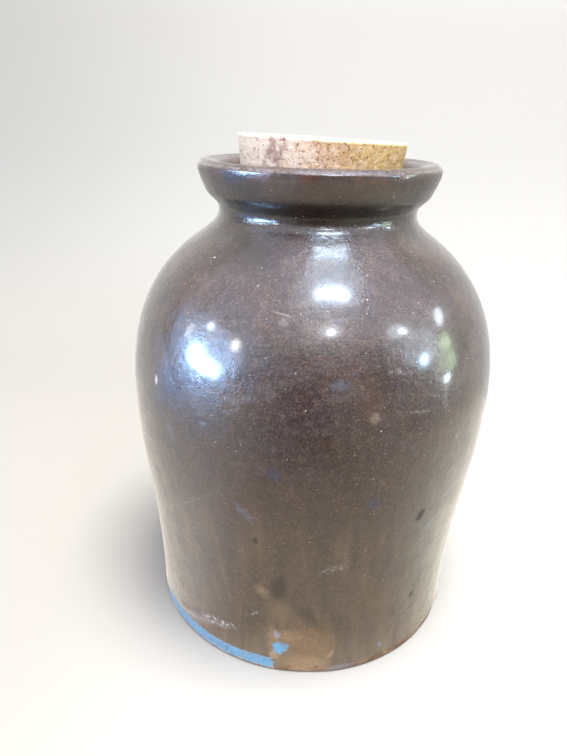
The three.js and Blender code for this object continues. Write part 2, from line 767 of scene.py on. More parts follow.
@dataclass
class Jar:
    """The stoneware jar: its turned form, the relief of its glaze and its finish. Sizes in mm."""

    foot_radius: float = 70.7
    foot_rounding: float = 1.6
    belly_radius: float = 77.6
    belly_height: float = 110.0
    wall_upright: float = 57.0
    wall_crowd: float = 1.7
    belly_below: float = 37.0
    belly_above: float = 41.1
    shoulder_radius: float = 46.7
    shoulder_height: float = 172.3
    shoulder_slope: float = 34.8
    slope_below: float = 11.6
    slope_above: float = 4.9
    neck_radius: float = 40.0
    neck_height: float = 181.1
    neck_below: float = 3.2
    neck_above: float = 4.0
    collar_edge_radius: float = 45.4
    collar_edge_height: float = 189.2
    collar_lean: float = 70.2
    lean_below: float = 4.25
    lean_above: float = 1.6
    collar_radius: float = 48.0
    collar_height: float = 197.6
    collar_below: float = 3.1
    collar_above: float = 0.6
    arris_radius: float = 47.3
    arris_height: float = 198.7
    arris_slope: float = 35.0
    arris_below: float = 0.5
    arris_above: float = 0.9
    crest_radius: float = 44.9
    crest_height: float = 200.0
    crest_outside: float = 0.9
    crest_inside: float = 3.5
    funnel_share: float = 0.55
    throat_radius: float = 30.94
    throat_height: float = 183.0
    throat_floor: float = 168.3
    columns: int = 360
    wall_waves: tuple[Wave, ...] = (Wave(0.15, 38.0, 3.1), Wave(0.06, 9.0, 7.7))
    wave_start: float = 2.0
    wave_ease: float = 6.0
    chips: Wave = Wave(0.5, 7.0, 1.3)
    chip_top: float = 4.5
    chip_ease: float = 3.0
    chip_least: float = 0.1
    bare_along: float = 4.0
    bare_height: float = 7.0
    bare_half: float = 9.0
    bare_depth: float = 0.3
    bead_angles: tuple[float, ...] = (-54.0, -43.7, -35.1, -28.9, -22.6)
    bead_heights: tuple[float, ...] = (7.4, 11.4, 14.9, 17.6, 17.2)
    bead_height: float = 0.55
    bead_width: float = 1.9
    bead_start: float = 9.0
    bead_end: float = 4.0
    bead_lumps: Wave = Wave(0.6, 1.7, 9.2)
    front_angle: float = 4.0
    front_half: float = 22.0
    front_fade: float = 34.0
    swell: float = 1.4
    swell_height: float = 175.15
    swell_above: float = 5.38
    swell_below: float = 5.78
    flat: float = 0.52
    flat_height: float = 159.8
    flat_above: float = 7.42
    flat_below: float = 30.0
    steps: JarSteps = JarSteps()
    finish: GlazeFinish = GlazeFinish()

    def outline(self) -> np.ndarray:
        """The outline from the middle of the underside round to the floor of the throat."""
        return np.concatenate([self._wall(), self._collar(), self._mouth()])

    def _wall(self) -> np.ndarray:
        """The outline's underside, foot, wall and shoulder, up to the neck.

        Returns:
            Radius and height of each point.
        """
        steps = self.steps
        rounding = self.foot_rounding
        inner = self.foot_radius - rounding
        bulge = CIRCLE_HANDLE * rounding
        foot = (self.foot_radius, rounding)
        belly = (self.belly_radius, self.belly_height)
        shoulder = (self.shoulder_radius, self.shoulder_height)
        neck = (self.neck_radius, self.neck_height)
        pieces = [
            np.zeros((1, 2)),
            straight((0, 0), (inner, 0), steps.underside),
            bend((inner, 0), (inner + bulge, 0), (foot[0], foot[1] - bulge), foot, steps.foot),
            bend(
                foot,
                (self.foot_radius, self.wall_upright),
                (self.belly_radius, self.belly_height - self.belly_below),
                belly,
                steps.wall,
                self.wall_crowd,
            ),
            bend(
                belly,
                (self.belly_radius, self.belly_height + self.belly_above),
                reach(shoulder, -self.shoulder_slope, self.slope_below),
                shoulder,
                steps.shoulder,
            ),
            bend(
                shoulder,
                reach(shoulder, -self.shoulder_slope, -self.slope_above),
                (neck[0], neck[1] - self.neck_below),
                neck,
                steps.hollow,
            ),
        ]
        return np.concatenate(pieces)

    def _collar(self) -> np.ndarray:
        """The outline from the neck under the collar, up its face and over the rim to the crest.

        Returns:
            Radius and height of each point, without the first.
        """
        steps = self.steps
        neck = (self.neck_radius, self.neck_height)
        edge = (self.collar_edge_radius, self.collar_edge_height)
        collar = (self.collar_radius, self.collar_height)
        arris = (self.arris_radius, self.arris_height)
        crest = (self.crest_radius, self.crest_height)
        pieces = [
            bend(
                neck,
                (neck[0], neck[1] + self.neck_above),
                reach(edge, self.collar_lean, -self.lean_below),
                edge,
                steps.under_collar,
            ),
            bend(
                edge,
                reach(edge, self.collar_lean, self.lean_above),
                (collar[0], collar[1] - self.collar_below),
                collar,
                steps.collar,
            ),
            bend(
                collar,
                (collar[0], collar[1] + self.collar_above),
                reach(arris, -self.arris_slope, self.arris_below),
                arris,
                steps.rim,
            ),
            bend(
                arris,
                reach(arris, -self.arris_slope, -self.arris_above),
                (crest[0] + self.crest_outside, crest[1]),
                crest,
                steps.crest,
            ),
        ]
        return np.concatenate(pieces)

    def _mouth(self) -> np.ndarray:
        """The outline from the crest down the funnel and the throat to the axis.

        Returns:
            Radius and height of each point, without the first.
        """
        steps = self.steps
        crest = (self.crest_radius, self.crest_height)
        throat = (self.throat_radius, self.throat_height)
        floor = (self.throat_radius, self.throat_floor)
        funnel = self.crest_height - self.throat_height
        pieces = [
            bend(
                crest,
                (crest[0] - self.crest_inside, crest[1]),
                (throat[0], throat[1] + self.funnel_share * funnel),
                throat,
                steps.funnel,
            ),
            straight(throat, floor, steps.throat),
            straight(floor, (0, self.throat_floor), steps.floor),
        ]
        return np.concatenate(pieces)

    def relief(self, form: TurnedMesh) -> np.ndarray:
        """How far the waves, chips, bare patch, roll and pressed front move the turned form.

        Args:
            form: The turned form.

        Returns:
            The offset of each point, in millimetres.
        """
        height = form.points[:, :, 2]
        along = np.radians(form.angle) * self.foot_radius
        raised = form.above_base()
        wall = np.clip((height - self.wave_start) / self.wave_ease, 0, 1) * raised
        offset = wall * form.sunk(self.wall_waves)
        foot = np.clip((self.chip_top - height) / self.chip_ease, 0, 1) * raised
        chips = form.noise(self.chips.grain, self.chips.seed)
        offset -= self.chips.depth * foot * np.clip(chips - self.chip_least, 0, 1)
        bare = (along - self.bare_along) ** 2 + (height - self.bare_height) ** 2
        offset -= self.bare_depth * raised * np.exp(-((bare / self.bare_half**2) ** 2))
        lumps = form.noise(self.bead_lumps.grain, self.bead_lumps.seed)
        offset += (1 + self.bead_lumps.depth * lumps) * self._bead(along, height)
        return offset + raised * self._front(form.angle, height)

    def _front(self, angle: np.ndarray, height: np.ndarray) -> np.ndarray:
        """The slight swelling under the neck and the flat below it, where the front was pressed.

        Args:
            angle: Degrees to the right of the front.
            height: Millimetres above the foot.

        Returns:
            The offset of each point, in millimetres.
        """
        inside = self.front_half + self.front_fade - np.abs(angle - self.front_angle)
        share = np.clip(inside / self.front_fade, 0, 1)
        share = share**2 * (3 - 2 * share)
        spread = np.where(height > self.swell_height, self.swell_above, self.swell_below)
        swell = self.swell * np.exp(-(((height - self.swell_height) / spread) ** 2))
        spread = np.where(height > self.flat_height, self.flat_above, self.flat_below)
        flat = self.flat * np.exp(-(((height - self.flat_height) / spread) ** 2))
        return share * (swell - flat)

    def _bead(self, along: np.ndarray, height: np.ndarray) -> np.ndarray:
        """The roll of sagged glaze that runs up from the foot at the left.

        Args:
            along: Millimetres along the foot to the right of the front.
            height: Millimetres above the foot.

        Returns:
            The offset of each point, in millimetres.
        """
        places = np.radians(self.bead_angles) * self.foot_radius
        middle = np.interp(along, places, self.bead_heights)
        start = np.clip((along - places[0]) / self.bead_start, 0, 1)
        end = np.clip((places[-1] - along) / self.bead_end, 0, 1)
        across = (height - middle) / self.bead_width
        return self.bead_height * start * end * np.exp(-(across**2))

    def build(self) -> bpy.types.Object:
        """Makes the jar's mesh.

        Returns:
            The object, without a material.
        """
        form = TurnedMesh(self.outline(), self.columns)
        form.push(self.relief(form))
        return form.build("stoneware_jar")

    def dress(self, piece: bpy.types.Object) -> None:
        """Gives the mesh its glaze and sets it in the frame.

        Args:
            piece: The jar's object.
        """
        piece.data.materials.append(Glaze(self.finish, self.foot_radius).material())
        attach(piece, BODY)
        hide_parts("jar")


class Glaze:
    """Builds the glaze's material: ground colour, foot, marks, specks and ripple."""

    def __init__(self, finish: GlazeFinish, radius: float) -> None:
        """Sets out the places that the layers use.

        Args:
            finish: The colours and gloss.
            radius: The foot's radius, which turns degrees into millimetres along the wall.
        """
        self.finish = finish
        self.radius = radius
        self.zones = GlazeZones()
        self.sheet = NodeSheet(bpy.data.materials.new("brown_glaze"))
        sheet = self.sheet
        self.place = sheet.place()
        across, back, self.height = sheet.split(self.place)
        self.along = sheet.math("ARCTAN2", across, -back) * radius
        self.wrap = sheet.node("CombineXYZ", {}, {0: self.along, 1: self.height}).outputs[0]
        self.fine = sheet.noise(self.place, 1.3, 3, 0.65)
        self.coat = Layers(sheet, finish.brown)

    def degrees(self, angle: float) -> float:
        """Millimetres along the foot from the front, for an angle in degrees."""
        return math.radians(angle) * self.radius

    def belt(self, zone: Zone) -> Term:
        """A mask that is 1 inside a zone of the wall and eases to 0 at its ends."""
        return self.height.step(zone.start, zone.full) * self.height.step(zone.end, zone.ease)

    def clouds(self) -> list[Cloud]:
        """Lists the clouds in the ground colour.

        Returns:
            The clouds, the lowest layer first.
        """
        f = self.finish
        return [
            Cloud(30, 5, 0.65, 0.35, 0.65, f.purple),
            Cloud(11, 5, 0.7, 0.52, 0.72, f.russet, 0.3),
            Cloud(6.5, 5, 0.75, 0.56, 0.72, f.ink_blue, 0.4),
            Cloud(14, 4, 0.65, 0.5, 0.66, f.dust, 0.15, upper=True),
            Cloud(14, 4, 0.65, 0.5, 0.36, f.soot, 0.6, upper=True),
            Cloud(3.2, 4, 0.7, 0.5, 0.7, f.dust, 0.2),
            Cloud(3.2, 4, 0.7, 0.5, 0.32, f.soot, 0.55),
            Cloud(0.7, 2, 0.6, 0.5, 0.75, f.dust, 0.42),
            Cloud(0.7, 2, 0.6, 0.5, 0.3, f.soot, 0.55),
        ]

    def specks(self) -> list[Speck]:
        """Lists the grit, the painted glints and the pits.

        Returns:
            The specks, the lowest layer first.
        """
        f = self.finish
        return [
            Speck(0.9, 0.16, 0.62, 0.22, f.dust),
            # Painted glints: clustered chalk dots stand in for the sparkle of lamps on small bumps in
            # the glaze.
            Speck(1.5, 0.11, 0.82, 0.7, f.chalk),
            Speck(3.6, 0.06, 0.74, 0.6, f.chalk),
            Speck(9.0, 0.04, 0.70, 0.8, f.chalk),
            Speck(4.6, 0.10, 0.72, 0.7, f.soot),
        ]

    def marks(self) -> list[Mark]:
        """Lists the marks that the glaze carries.

        Returns:
            The marks, the lowest layer first.
        """
        f = self.finish
        return [
            Mark(3.2, 13.0, 19, 28, f.ochre, 0.68, soft=0.8, edge=Edge.TORN, matt=0.2, broken=0.3),
            Mark(2.6, 5.0, 17, 8, f.tan, 0.66, soft=0.6, edge=Edge.TORN, matt=0.4, broken=0.4),
            Mark(-8.0, 15.5, 5, 19, f.tan, 0.6, 8, soft=0.5, edge=Edge.TORN, matt=0.4, broken=0.4),
            Mark(-8.0, 9.0, 3.4, 5, f.tan, 0.7, soft=0.5, matt=0.4),
            Mark(-12.2, 44.3, 4.0, 6.0, f.tan, 0.34, 38, soft=0.9),
            Mark(-5.0, 34.0, 11, 13, f.tan, 0.14, soft=0.9, edge=Edge.TORN),
            Mark(-6.4, 47.3, 6, 12, f.soot, 0.85, soft=0.7, matt=0.45),
            Mark(3.0, 33.0, 20, 5, f.soot, 0.6, -50, soft=0.9, edge=Edge.TORN, matt=0.3),
            # Partly scuffed pale glaze, partly painted glints of the window's light along the sagged
            # roll.
            Mark(-36.0, 13.6, 30, 5, f.lilac, 0.6, 20, soft=0.6, edge=Edge.TORN, matt=0.2, broken=0.9),
            Mark(-29.0, 17.0, 15, 4, f.chalk, 0.7, 12, soft=0.6, edge=Edge.TORN, broken=0.95),
            Mark(-15.0, 30.0, 7, 2.4, f.chalk, 0.6, 40, soft=0.6, edge=Edge.TORN, broken=0.95),
            Mark(10.6, 17.0, 4.0, 20, f.ochre, 0.16, 8, soft=0.9, edge=Edge.TORN),
            Mark(-3.4, 20.5, 10, 6, f.tan, 0.5, soft=0.8, edge=Edge.TORN, matt=0.3, broken=0.4),
            Mark(11.3, 10.2, 2.2, 4.6, f.tan, 0.7, -30, soft=0.5, broken=0.4),
            Mark(-6.6, 13.4, 4.4, 5.6, f.blue, 0.95, 20, soft=0.3, edge=Edge.TORN, matt=0.8),
            Mark(-4.6, 14.2, 4.2, 4.2, f.blue, 0.95, soft=0.3, edge=Edge.TORN, matt=0.8, broken=0.3),
            Mark(-6.0, 11.2, 3.6, 3.4, f.blue, 0.9, soft=0.3, edge=Edge.TORN, matt=0.8, broken=0.3),
            Mark(-7.0, 20.8, 2.2, 4.6, f.lilac, 0.6, soft=0.4, matt=0.6),
            Mark(-6.9, 4.0, 3.0, 6.0, f.dust, 0.7, soft=0.5, matt=0.5, broken=0.4),
            Mark(15.5, 2.4, 11, 2.6, f.pale_blue, 0.6, soft=0.5, broken=0.5),
            Mark(-31.0, 11.3, 17, 4.6, f.russet, 0.6, 22, soft=0.7),
            Mark(-36.0, 78.0, 30, 0.55, f.chalk, 0.4, 38, soft=0.6, edge=Edge.CLEAN, broken=0.9),
            Mark(-41.0, 108.0, 3, 9, f.pale_blue, 0.3, 25, soft=0.9, edge=Edge.TORN, broken=0.6),
            Mark(-16.5, 83.0, 2.4, 9, f.pale_blue, 0.45, 38, soft=0.8, edge=Edge.TORN, broken=0.6),
            Mark(-8.0, 102.5, 4, 5.5, f.ink_blue, 0.6, 35, soft=0.8, edge=Edge.TORN),
            Mark(16.5, 128.5, 8, 9, f.russet, 0.24, soft=0.9, edge=Edge.TORN),
            # Painted dark reflection: the shoulder under the collar at the left is darkened, standing
            # in for the collar's mirrored underside.
            Mark(-27.0, 171.5, 30, 9, f.soot, 0.7, soft=0.9, edge=Edge.TORN, matt=0.6),
            Mark(-9.1, 155.8, 7, 0.6, f.chalk, 0.28, -8, soft=0.6, edge=Edge.CLEAN, broken=0.5),
            Mark(-8.2, 153.6, 3, 2.4, f.chalk, 0.2, soft=0.9, edge=Edge.TORN, broken=0.6),
            # Painted glints: a cluster of broken pale flecks below the left window's highlight.
            Mark(-20.4, 126.3, 7, 8, f.lilac, 0.22, soft=0.8, edge=Edge.TORN, broken=0.97),
            Mark(-28.3, 116.3, 2.6, 1.7, f.pale_blue, 0.6, soft=0.6, broken=0.4),
            Mark(23.9, 138.5, 5, 2, f.chalk, 0.22, -15, soft=0.8, edge=Edge.TORN, broken=0.9),
            Mark(30.1, 124.1, 7, 1.1, f.chalk, 0.3, -8, soft=0.6, broken=0.8),
            # Painted glints: a short upright run of broken pale flecks.
            Mark(39.3, 126.8, 2.6, 8, f.chalk, 0.3, soft=0.8, edge=Edge.TORN, broken=0.9),
            Mark(7.7, 135.5, 5, 3, f.pale_blue, 0.14, soft=0.9, edge=Edge.TORN),
            Mark(17.1, 124.3, 3.2, 4.0, f.dust, 0.5, soft=0.3, edge=Edge.CLEAN),
            Mark(36.2, 77.7, 3.2, 5.5, f.soot, 0.95, -20, soft=0.5, matt=0.9),
            Mark(19.2, 89.8, 3.8, 4.4, f.ink_blue, 0.6, soft=0.7, matt=0.7),
            Mark(41.4, 31.0, 2.4, 3.6, f.soot, 0.8, soft=0.5, matt=0.8),
            Mark(-13.4, 70.5, 2.2, 3.0, f.soot, 0.8, soft=0.5, matt=0.8),
            Mark(42.0, 69.7, 1.2, 7.5, f.pale_blue, 0.6, -55, soft=0.6, broken=0.4),
            Mark(9.4, 58.3, 10, 2.6, f.chalk, 0.4, 24, soft=0.9, edge=Edge.TORN, broken=0.95),
            Mark(29.8, 9.1, 1.6, 2.8, f.pale_blue, 0.7, soft=0.5, broken=0.4),
            Mark(-48.1, 124.5, 2.0, 3.4, f.chalk, 0.9, soft=0.4, edge=Edge.CLEAN, matt=0.6),
        ]

    def material(self) -> bpy.types.Material:
        """Makes the material.

        Returns:
            The material.
        """
        f = self.finish
        zones = self.zones
        self._lay_clouds()
        self._lay_streaks()
        self._lay_collar()
        matt = self._lay_marks(self._lay_foot())
        pits = self._lay_specks()
        film = self.sheet.noise(self.place, 9, 5, 0.7).step(0.4, 0.62)
        polish = self.belt(zones.hollow).most(self.belt(zones.polished_edge))
        roughness = f.roughness + film * f.film + matt * f.matt_roughness - polish * f.polish
        clear = (1 - matt * f.matt_coat_loss) * (1 - self.belt(zones.collar) * f.collar_coat_loss)
        return self.sheet.finish(
            {
                "Base Color": self.coat.colour,
                "Roughness": roughness,
                "IOR": f.ior,
                "Specular IOR Level": f.specular,
                "Coat Weight": clear,
                "Coat Roughness": f.coat_roughness,
                "Coat IOR": f.ior,
                "Normal": self._ripple(pits),
            }
        )

    def _lay_clouds(self) -> None:
        """Lays the clouds of the ground colour."""
        upper = self.height.step(105, 125)
        for cloud in self.clouds():
            value = self.sheet.noise(self.place, cloud.grain, cloud.detail, cloud.fine)
            mask = value.step(cloud.low, cloud.high) * cloud.strength
            self.coat.lay(mask * upper if cloud.upper else mask, cloud.colour)

    def _lay_streaks(self) -> None:
        """Lays the streaks that ran down the lower wall, and the pale film near the foot."""
        f = self.finish
        stretch = self.sheet.vector("MULTIPLY", self.wrap, (1.0, 0.16, 1.0))
        streaks = self.sheet.noise(stretch, 7, 4, 0.6)
        low = self.height.step(112, 58)
        self.coat.lay(low * streaks.step(0.3, 0.75) * 0.8, f.olive)
        self.coat.lay(low * streaks.step(0.5, 0.68) * 0.2, f.dust)
        self.coat.lay(low * streaks.step(0.46, 0.32) * 0.45, f.soot)
        right = self.along.step(40, 66) * self.height.step(96, 40)
        self.coat.lay(right * streaks.step(0.4, 0.7) * 0.27, f.ochre)
        self.coat.lay(low * self.fine.step(0.5, 0.8) * 0.3, f.dust)
        self.coat.lay(self.height.step(26, 3) * streaks.step(0.2, 0.6) * 0.6, f.dust)

    def _lay_collar(self) -> None:
        """Lays painted shade in the recess under the collar and low on the collar's face, the collar's
        blotches, a pale flecked belt under the rim's edge and a painted highlight along that edge.
        """
        f = self.finish
        zones = self.zones
        # Painted shade: the recess under the collar is darkened in colour, standing in for its shadow.
        self.coat.lay(self.belt(zones.shaded_groove) * 0.95, f.soot)
        blotches = self.sheet.noise(self.place, 6, 4, 0.65)
        self.coat.lay(self.belt(zones.under_rim) * blotches.step(0.45, 0.62) * 0.7, f.russet)
        face = self.belt(zones.face)
        self.coat.lay(face * blotches.step(0.48, 0.40) * 0.5, f.soot)
        # Painted shade: the lower, downward-turned part of the collar's face is darkened in colour.
        self.coat.lay(self.belt(zones.shaded_lower_face) * 0.35, f.soot)
        ahead = self.along.step(-42, -15) * self.along.step(56, 34)
        self.coat.lay(face * ahead * 0.27, f.dust)
        rubbed = self.height.step(197.6, 198.6) * self.fine.step(0.3, 0.7)
        self.coat.lay(rubbed * 0.35, f.dust)
        # Painted highlight: broken pale flecks along the rim's edge stand in for the shine of the
        # lamps on it.
        bits = self.sheet.noise(self.place, 3.0, 4, 0.7).step(0.4, 0.65)
        self.coat.lay(self.belt(zones.painted_edge_highlight) * bits * 0.28, f.lilac)

    def _lay_foot(self) -> Term:
        """Lays the bare foot, the worn band of blue paint on it and painted shade along its lowest
        edge.

        Returns:
            How dull the surface is.
        """
        sheet = self.sheet
        f = self.finish
        wander = sheet.noise(self.place, 5, 3, 0.6)
        bare = (1.6 + wander * 3.4 - self.height).step(-0.6, 0.6)
        self.coat.lay(bare * 0.85, sheet.mix(wander.step(0.45, 0.7), f.clay, f.russet))
        fray = sheet.noise(self.place, 2.4, 4, 0.65)
        band = self._paint_band(fray)
        self.coat.lay(band * 0.85, sheet.mix(fray.step(0.4, 0.65), f.chalk, f.dust))
        tint = Layers(sheet, f.blue)
        tint.lay(wander.step(0.4, 0.65) * 0.5, f.pale_blue)
        tint.lay(fray.step(0.56, 0.68) * 0.45, f.ink_blue)
        kept = (self.height + fray * 2.4).step(2.4, 3.4)
        rubbed = self.fine.step(0.48, 0.7) * 0.6
        self.coat.lay(band * kept * (1 - rubbed), tint.colour)
        # Painted shade: the lowest millimetre of the foot, where it meets the floor, is darkened in
        # colour.
        self.coat.lay(self.height.step(1.3, 0.3) * 0.6, f.soot)
        return bare.most(band)

    def _paint_band(self, fray: Term) -> Term:
        """A mask of the band of paint, with a ragged upper edge and a torn right end.

        Args:
            fray: The noise that its edges follow.

        Returns:
            The mask, from 0 to 1.
        """
        band = PaintBand()
        left = self.degrees(band.left)
        right = self.degrees(band.right)
        under_top = (band.top + fray * band.ragged - self.height).step(-band.soft, band.soft)
        before_end = (self.along + fray * band.torn).step(right + band.gone, right + band.kept)
        return under_top * before_end * self.along.step(left, left + band.fade)

    def _lay_marks(self, matt: Term) -> Term:
        """Lays the marks, each an oval whose edge wanders.

        Args:
            matt: How dull the surface below is.

        Returns:
            How dull the surface is with them.
        """
        sheet = self.sheet
        wanderer = sheet.node("TexNoise", {}, {"Vector": self.place, "Scale": 0.6, "Detail": 4.0})
        swing = sheet.vector("SUBTRACT", wanderer.outputs["Color"], (0.5, 0.5, 0.5))
        torn = {
            edge: sheet.vector("ADD", self.wrap, sheet.scaled(swing, 2 * edge.value))
            for edge in Edge
        }
        flecks = self.fine.step(0.48, 0.62)
        for mark in self.marks():
            centre = (self.degrees(mark.angle), mark.height, 0.0)
            away = sheet.vector("SUBTRACT", torn[mark.edge], centre)
            turned = sheet.node(
                "VectorRotate",
                {"rotation_type": "Z_AXIS"},
                {"Vector": away, "Angle": -math.radians(mark.turn)},
            ).outputs[0]
            oval = sheet.vector("MULTIPLY", turned, (2 / mark.wide, 2 / mark.tall, 0.0))
            mask = sheet.length(oval).step(1 + mark.soft, 1 - mark.soft) * mark.strength
            if mark.broken:
                mask = mask * (1 - mark.broken + flecks * mark.broken)
            self.coat.lay(mask, mark.colour)
            if mark.matt:
                matt = matt.most(mask * mark.matt)
        return matt

    def _lay_specks(self) -> Term:
        """Lays the pale grit, the painted glints and the dark pits.

        Returns:
            A mask of all of them.
        """
        sheet = self.sheet
        crowd = sheet.noise(self.place, 16, 3) * 0.6 - 0.3
        dots: Term | None = None
        for speck in self.specks():
            near, draw = sheet.cells(self.place, speck.cell)
            chosen = (sheet.channel(draw, "Red") + crowd).step(speck.empty, speck.empty + 0.05)
            radius = sheet.channel(draw, "Green") * speck.radius + speck.radius * 0.35
            dot = (radius - near).step(-0.25 * speck.radius, 0.25 * speck.radius) * chosen
            self.coat.lay(dot * speck.cover, speck.colour)
            dots = dot if dots is None else dots.most(dot)
        return dots

    def _ripple(self, pits: Term) -> bpy.types.NodeSocket:
        """Makes the relief of the glaze's uneven flow, its dimples, its fine peel and its pits.

        Args:
            pits: A mask of the pits, the grit and the painted glints.

        Returns:
            The normal's socket.
        """
        sheet = self.sheet
        f = self.finish
        normal = sheet.bump(sheet.noise(self.place, 7.5, 2, 0.5), f.ripple)
        normal = sheet.bump(sheet.noise(self.place, 2.4, 2, 0.5), f.dimple, normal)
        normal = sheet.bump(sheet.noise(self.place, 0.6, 2, 0.6) - pits * 0.5, f.peel, normal)
        near, draw = sheet.cells(self.place, 1.7)
        chosen = sheet.channel(draw, "Blue").step(0.5, 0.56) * sheet.channel(draw, "Red")
        return sheet.bump(near.step(0.3, 0.0) * chosen, f.glint, normal)


@dataclass
class Stopper:
    """The tapered cork, pressed into the throat a little askew. Sizes in millimetres."""

    top_radius: float = 33.0
    length: float = 38.0
    taper: float = 5.65
    lean: float = 2.0
    lean_back: float = 1.0
    above_crest: float = 7.84
    edge: float = 0.3
    grip_height: float = 183.0
    crest_height: float = 200.0
    columns: int = 240
    end_rings: int = 8
    low_edge_rings: int = 2
    top_edge_rings: int = 3
    side_rings: int = 44
    top_rings: int = 40
    grain: tuple[Wave, ...] = (Wave(0.09, 1.4, 5.0), Wave(0.06, 3.5, 2.0))
    finish: CorkFinish = CorkFinish()

    def outline(self) -> np.ndarray:
        """The outline, with heights counted from the throat's edge.

        Returns:
            Radius and height of each point.
        """
        high = self.crest_height + self.above_crest - self.grip_height
        low = high - self.length
        slope = math.tan(math.radians(self.taper))
        end = self.top_radius - self.length * slope
        worn = self.edge * slope
        low_inner = (end - self.edge, low)
        low_outer = (end + worn, low + self.edge)
        high_outer = (self.top_radius - worn, high - self.edge)
        high_inner = (self.top_radius - self.edge, high)
        pieces = [
            np.array([[0.0, low]]),
            straight((0, low), low_inner, self.end_rings),
            straight(low_inner, low_outer, self.low_edge_rings),
            straight(low_outer, high_outer, self.side_rings),
            straight(high_outer, high_inner, self.top_edge_rings),
            straight(high_inner, (0, high), self.top_rings),
        ]
        return np.concatenate(pieces)

    def build(self) -> bpy.types.Object:
        """Makes the stopper's mesh, grainy and set askew in the throat.

        Returns:
            The object, without a material.
        """
        form = TurnedMesh(self.outline(), self.columns)
        form.push(form.sunk(self.grain))
        piece = form.build("cork_stopper")
        lean = Matrix.Rotation(math.radians(self.lean), 4, "Y")
        back = Matrix.Rotation(math.radians(-self.lean_back), 4, "X")
        rise = Matrix.Translation((0, 0, self.grip_height * MM))
        piece.data.transform(rise @ back @ lean)
        return piece

    def dress(self, piece: bpy.types.Object) -> None:
        """Gives the mesh its cork and sets it in the frame.

        Args:
            piece: The stopper's object.
        """
        piece.data.materials.append(Cork(self.finish, self).material())
        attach(piece, BODY)
        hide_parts("cork")


class Cork:
    """Builds the cork's material: granules, pale top, bark and stain."""

    def __init__(self, finish: CorkFinish, stopper: Stopper) -> None:
        """Sets out the places that the layers use.

        Args:
            finish: The colours.
            stopper: The stopper, whose lean sets where its top is.
        """
        self.finish = finish
        self.stopper = stopper
        self.sheet = NodeSheet(bpy.data.materials.new("pressed_cork"))
        sheet = self.sheet
        self.place = sheet.place()
        swing = sheet.node("TexNoise", {}, {"Vector": self.place, "Scale": 0.9, "Detail": 4.0})
        self.warped = sheet.vector("ADD", self.place, sheet.scaled(swing.outputs["Color"], 2.4))
        self.side, self.back, self.rise = sheet.split(self.place)
        self.soft = sheet.noise(self.place, 3.6, 4, 0.6)
        self.fine = sheet.noise(self.place, 0.5, 3, 0.7)
        self.coat = Layers(sheet, finish.pale)

    def material(self) -> bpy.types.Material:
        """Makes the material.

        Returns:
            The material.
        """
        f = self.finish
        gaps = self._lay_granules()
        self._lay_top()
        lines = self._lay_bark()
        self._lay_stain()
        height = 1 - lines * 0.8 - gaps * 0.4 - self.fine * 0.3
        return self.sheet.finish(
            {
                "Base Color": self.coat.colour,
                "Roughness": f.roughness,
                "IOR": f.ior,
                "Normal": self.sheet.bump(height, f.relief),
            }
        )

    def _lay_granules(self) -> Term:
        """Lays the granules' tones over a painted light gradient: pale at the left, as if lit there,
        and gold-tan at the right.

        Returns:
            A mask of the gaps between the granules.
        """
        f = self.finish
        near, draw = self.sheet.cells(self.warped, f.grain)
        # Painted light: the tan and gold fade out towards the left, so the left side stays pale as if
        # lit by the window, and the granules darken towards the right.
        side_shade_tan = (self.side * 0.022 + self.soft).step(0.05, 0.75)
        self.coat.lay(side_shade_tan, f.tan)
        side_shade_gold = (self.side * 0.03 + self.soft).step(0.45, 1.15)
        self.coat.lay(side_shade_gold * 0.85, f.gold)
        tone = self.sheet.channel(draw, "Red")
        dark = side_shade_tan * 0.7 + 0.3
        self.coat.lay(tone.step(0.45, 1.0) * dark * 0.4, f.tan)
        self.coat.lay(tone.step(0.35, 0.0) * 0.3, f.pale)
        self.coat.lay(self.fine.step(0.52, 0.85) * dark * 0.45, f.bark)
        self.coat.lay(self.fine.step(0.5, 0.25) * 0.45, f.cream)
        return near.step(0.4, 0.8)

    def _lay_top(self) -> None:
        """Lays the paler colour of the cut top."""
        stopper = self.stopper
        level = self.rise + self.side * math.tan(math.radians(stopper.lean))
        level = level + self.back * math.tan(math.radians(stopper.lean_back))
        top = stopper.crest_height + stopper.above_crest
        self.coat.lay(level.step(top - 0.7, top - 0.3) * 0.75, self.finish.cream)

    def _lay_bark(self) -> Term:
        """Lays the short lines and the bits of bark.

        Returns:
            A mask of the lines.
        """
        sheet = self.sheet
        threads = sheet.noise(self.warped, 1.5, 2, 0.5) - 0.5
        sparse = sheet.noise(self.place, 1.8, 2, 0.5).step(0.55, 0.63)
        lines = threads.size().step(0.035, 0.012) * sparse
        self.coat.lay(lines * 0.8, self.finish.bark)
        near, draw = sheet.cells(self.place, 1.4)
        chosen = sheet.channel(draw, "Blue").step(0.8, 0.83)
        self.coat.lay(chosen * near.step(0.3, 0.18) * 0.7, self.finish.bark)
        return lines

    def _lay_stain(self) -> None:
        """Lays the purplish stain, an upright blot at the left of the front."""
        f = self.finish
        shift = f.stain_height * f.stain_lean - f.stain_side - 0.5 * f.stain_ragged
        offset = self.side + shift + self.soft * f.stain_ragged - self.rise * f.stain_lean
        offset = offset / f.stain_half
        blot = (offset * offset).step(1.5, 0.2) * self.back.step(-12, -22)
        self.coat.lay(blot * self.soft.step(0.3, 0.6) * 0.75, f.stain)


class Use(Enum):
    """What a lamp is for."""

    MIRRORED = "mirrored in the glaze"
    LIGHTING = "lights dull surfaces"


